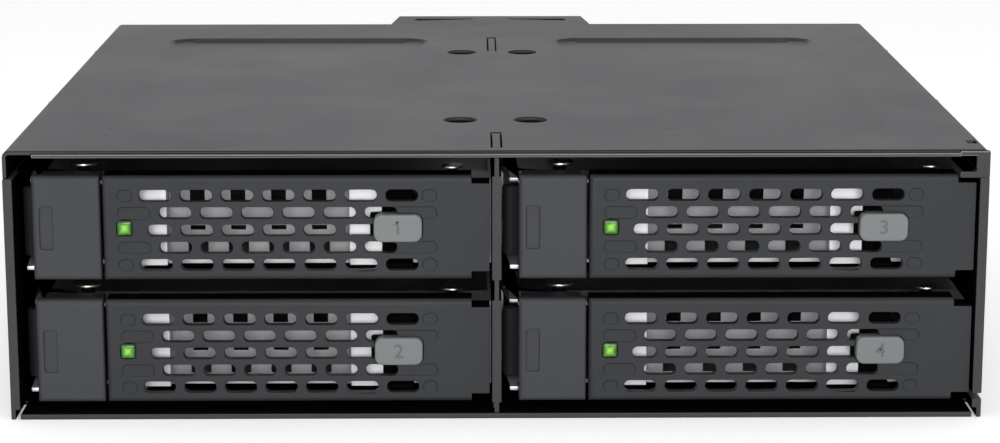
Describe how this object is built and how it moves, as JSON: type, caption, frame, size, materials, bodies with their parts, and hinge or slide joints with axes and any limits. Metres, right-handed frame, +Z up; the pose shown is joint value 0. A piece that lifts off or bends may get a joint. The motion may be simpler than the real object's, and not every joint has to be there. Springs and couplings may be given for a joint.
{
  "type": "hot swap drive cage",
  "caption": "half-height bay cage with sliding drive trays, each with a hinged perforated lever door, push button, latch and ejector hook; fan and backplane behind",
  "frame": {"origin": "middle of the underside, under the middle of the whole box in plan", "axes": "+X to the right seen from the front, +Y from the front to the fan, +Z up"},
  "size_m": [0.146, 0.1448, 0.041],
  "materials": {
    "grey_paint": "satin dark grey powder coat on folded steel",
    "zinc": "bright zinc-plated steel sheet",
    "face_plastic": "fine-textured dark grey moulding",
    "button_plastic": "light grey moulding",
    "black_plastic": "black moulding",
    "white_plastic": "natural white slippery plastic",
    "hook_metal": "dark die-cast metal",
    "screw_steel": "bright nickel-plated steel",
    "circuit_board": "green lacquered board",
    "lamp": "small lamp body",
    "green_lens": "green tinted clear window",
    "clear_plastic": "clear moulded light guide"
  },
  "bodies": {
    "cage": {"chassis": "grey_paint", "top_cover": "grey_paint", "centre_divider": "grey_paint", "middle_shelves": "zinc", "guide_rails": "white_plastic", "rear_panel": "grey_paint", "backplane_board": "circuit_board", "drive_sockets": "black_plastic", "status_leds": "lamp", "data_connectors": "black_plastic", "power_connectors": "black_plastic", "fan_frame": "black_plastic", "fan_guard": "zinc", "fan_screws": "screw_steel", "fan_switch": "black_plastic", "cover_screws": "screw_steel", "rear_screws": "screw_steel"},
    "rotor": {"fan_rotor": "black_plastic"},
    "knob": {"fan_switch_knob": "white_plastic"},
    "tray_body_1": {"tray_1": "zinc", "bezel_1": "face_plastic", "pivot_pins_1": "screw_steel", "light_pipe_1": "clear_plastic"},
    "door_body_1": {"door_1": "face_plastic", "led_lens_1": "green_lens", "button_spring_1": "screw_steel"},
    "button_body_1": {"button_1": "button_plastic"},
    "latch_body_1": {"latch_1": "black_plastic"},
    "hook_body_1": {"ejector_hook_1": "hook_metal"},
    "tray_body_2": {"tray_2": "zinc", "bezel_2": "face_plastic", "pivot_pins_2": "screw_steel", "light_pipe_2": "clear_plastic"},
    "door_body_2": {"door_2": "face_plastic", "led_lens_2": "green_lens", "button_spring_2": "screw_steel"},
    "button_body_2": {"button_2": "button_plastic"},
    "latch_body_2": {"latch_2": "black_plastic"},
    "hook_body_2": {"ejector_hook_2": "hook_metal"},
    "tray_body_3": {"tray_3": "zinc", "bezel_3": "face_plastic", "pivot_pins_3": "screw_steel", "light_pipe_3": "clear_plastic"},
    "door_body_3": {"door_3": "face_plastic", "led_lens_3": "green_lens", "button_spring_3": "screw_steel"},
    "button_body_3": {"button_3": "button_plastic"},
    "latch_body_3": {"latch_3": "black_plastic"},
    "hook_body_3": {"ejector_hook_3": "hook_metal"},
    "tray_body_4": {"tray_4": "zinc", "bezel_4": "face_plastic", "pivot_pins_4": "screw_steel", "light_pipe_4": "clear_plastic"},
    "door_body_4": {"door_4": "face_plastic", "led_lens_4": "green_lens", "button_spring_4": "screw_steel"},
    "button_body_4": {"button_4": "button_plastic"},
    "latch_body_4": {"latch_4": "black_plastic"},
    "hook_body_4": {"ejector_hook_4": "hook_metal"}
  },
  "joints": [
    {"name": "fan_spin", "type": "hinge", "parent": "cage", "child": "rotor", "pos_m": [0, 0.06605, 0.02015], "axis": [0, 1, 0], "continuous": true},
    {"name": "fan_speed_slide", "type": "slide", "parent": "cage", "child": "knob", "axis": [1, 0, 0], "range_m": [0, 0.004]},
    {"name": "tray_slide_1", "type": "slide", "parent": "cage", "child": "tray_body_1", "axis": [0, -1, 0], "range_m": [0, 0.125]},
    {"name": "door_swing_1", "type": "hinge", "parent": "tray_body_1", "child": "door_body_1", "pos_m": [-0.055, -0.06935, 0.0292], "axis": [0, 0, -1], "range_deg": [0, 75]},
    {"name": "button_press_1", "type": "slide", "parent": "door_body_1", "child": "button_body_1", "axis": [0, 1, 0], "range_m": [0, 0.0012], "stiffness_N_per_m": 500},
    {"name": "latch_turn_1", "type": "hinge", "parent": "tray_body_1", "child": "latch_body_1", "pos_m": [-0.0067, -0.06345, 0.0292], "axis": [0, 0, -1], "range_deg": [0, 10.5]},
    {"name": "hook_turn_1", "type": "hinge", "parent": "tray_body_1", "child": "hook_body_1", "pos_m": [-0.0626, -0.06045, 0.0292], "axis": [0, 0, -1], "range_deg": [0, 48]},
    {"name": "tray_slide_2", "type": "slide", "parent": "cage", "child": "tray_body_2", "axis": [0, -1, 0], "range_m": [0, 0.125]},
    {"name": "door_swing_2", "type": "hinge", "parent": "tray_body_2", "child": "door_body_2", "pos_m": [-0.055, -0.06935, 0.0103], "axis": [0, 0, -1], "range_deg": [0, 75]},
    {"name": "button_press_2", "type": "slide", "parent": "door_body_2", "child": "button_body_2", "axis": [0, 1, 0], "range_m": [0, 0.0012], "stiffness_N_per_m": 500},
    {"name": "latch_turn_2", "type": "hinge", "parent": "tray_body_2", "child": "latch_body_2", "pos_m": [-0.0067, -0.06345, 0.0103], "axis": [0, 0, -1], "range_deg": [0, 10.5]},
    {"name": "hook_turn_2", "type": "hinge", "parent": "tray_body_2", "child": "hook_body_2", "pos_m": [-0.0626, -0.06045, 0.0103], "axis": [0, 0, -1], "range_deg": [0, 48]},
    {"name": "tray_slide_3", "type": "slide", "parent": "cage", "child": "tray_body_3", "axis": [0, -1, 0], "range_m": [0, 0.125]},
    {"name": "door_swing_3", "type": "hinge", "parent": "tray_body_3", "child": "door_body_3", "pos_m": [0.0173, -0.06935, 0.0292], "axis": [0, 0, -1], "range_deg": [0, 75]},
    {"name": "button_press_3", "type": "slide", "parent": "door_body_3", "child": "button_body_3", "axis": [0, 1, 0], "range_m": [0, 0.0012], "stiffness_N_per_m": 500},
    {"name": "latch_turn_3", "type": "hinge", "parent": "tray_body_3", "child": "latch_body_3", "pos_m": [0.0656, -0.06345, 0.0292], "axis": [0, 0, -1], "range_deg": [0, 10.5]},
    {"name": "hook_turn_3", "type": "hinge", "parent": "tray_body_3", "child": "hook_body_3", "pos_m": [0.0097, -0.06045, 0.0292], "axis": [0, 0, -1], "range_deg": [0, 48]},
    {"name": "tray_slide_4", "type": "slide", "parent": "cage", "child": "tray_body_4", "axis": [0, -1, 0], "range_m": [0, 0.125]},
    {"name": "door_swing_4", "type": "hinge", "parent": "tray_body_4", "child": "door_body_4", "pos_m": [0.0173, -0.06935, 0.0103], "axis": [0, 0, -1], "range_deg": [0, 75]},
    {"name": "button_press_4", "type": "slide", "parent": "door_body_4", "child": "button_body_4", "axis": [0, 1, 0], "range_m": [0, 0.0012], "stiffness_N_per_m": 500},
    {"name": "latch_turn_4", "type": "hinge", "parent": "tray_body_4", "child": "latch_body_4", "pos_m": [0.0656, -0.06345, 0.0103], "axis": [0, 0, -1], "range_deg": [0, 10.5]},
    {"name": "hook_turn_4", "type": "hinge", "parent": "tray_body_4", "child": "hook_body_4", "pos_m": [0.0097, -0.06045, 0.0103], "axis": [0, 0, -1], "range_deg": [0, 48]}
  ],
  "couplings": [
    {"joint": "hook_turn_1", "follows": "door_swing_1", "ratio": 0.629},
    {"joint": "latch_turn_1", "follows": "button_press_1", "rad_per_m": 145.44},
    {"joint": "hook_turn_2", "follows": "door_swing_2", "ratio": 0.629},
    {"joint": "latch_turn_2", "follows": "button_press_2", "rad_per_m": 145.44},
    {"joint": "hook_turn_3", "follows": "door_swing_3", "ratio": 0.629},
    {"joint": "latch_turn_3", "follows": "button_press_3", "rad_per_m": 145.44},
    {"joint": "hook_turn_4", "follows": "door_swing_4", "ratio": 0.629},
    {"joint": "latch_turn_4", "follows": "button_press_4", "rad_per_m": 145.44}
  ]
}
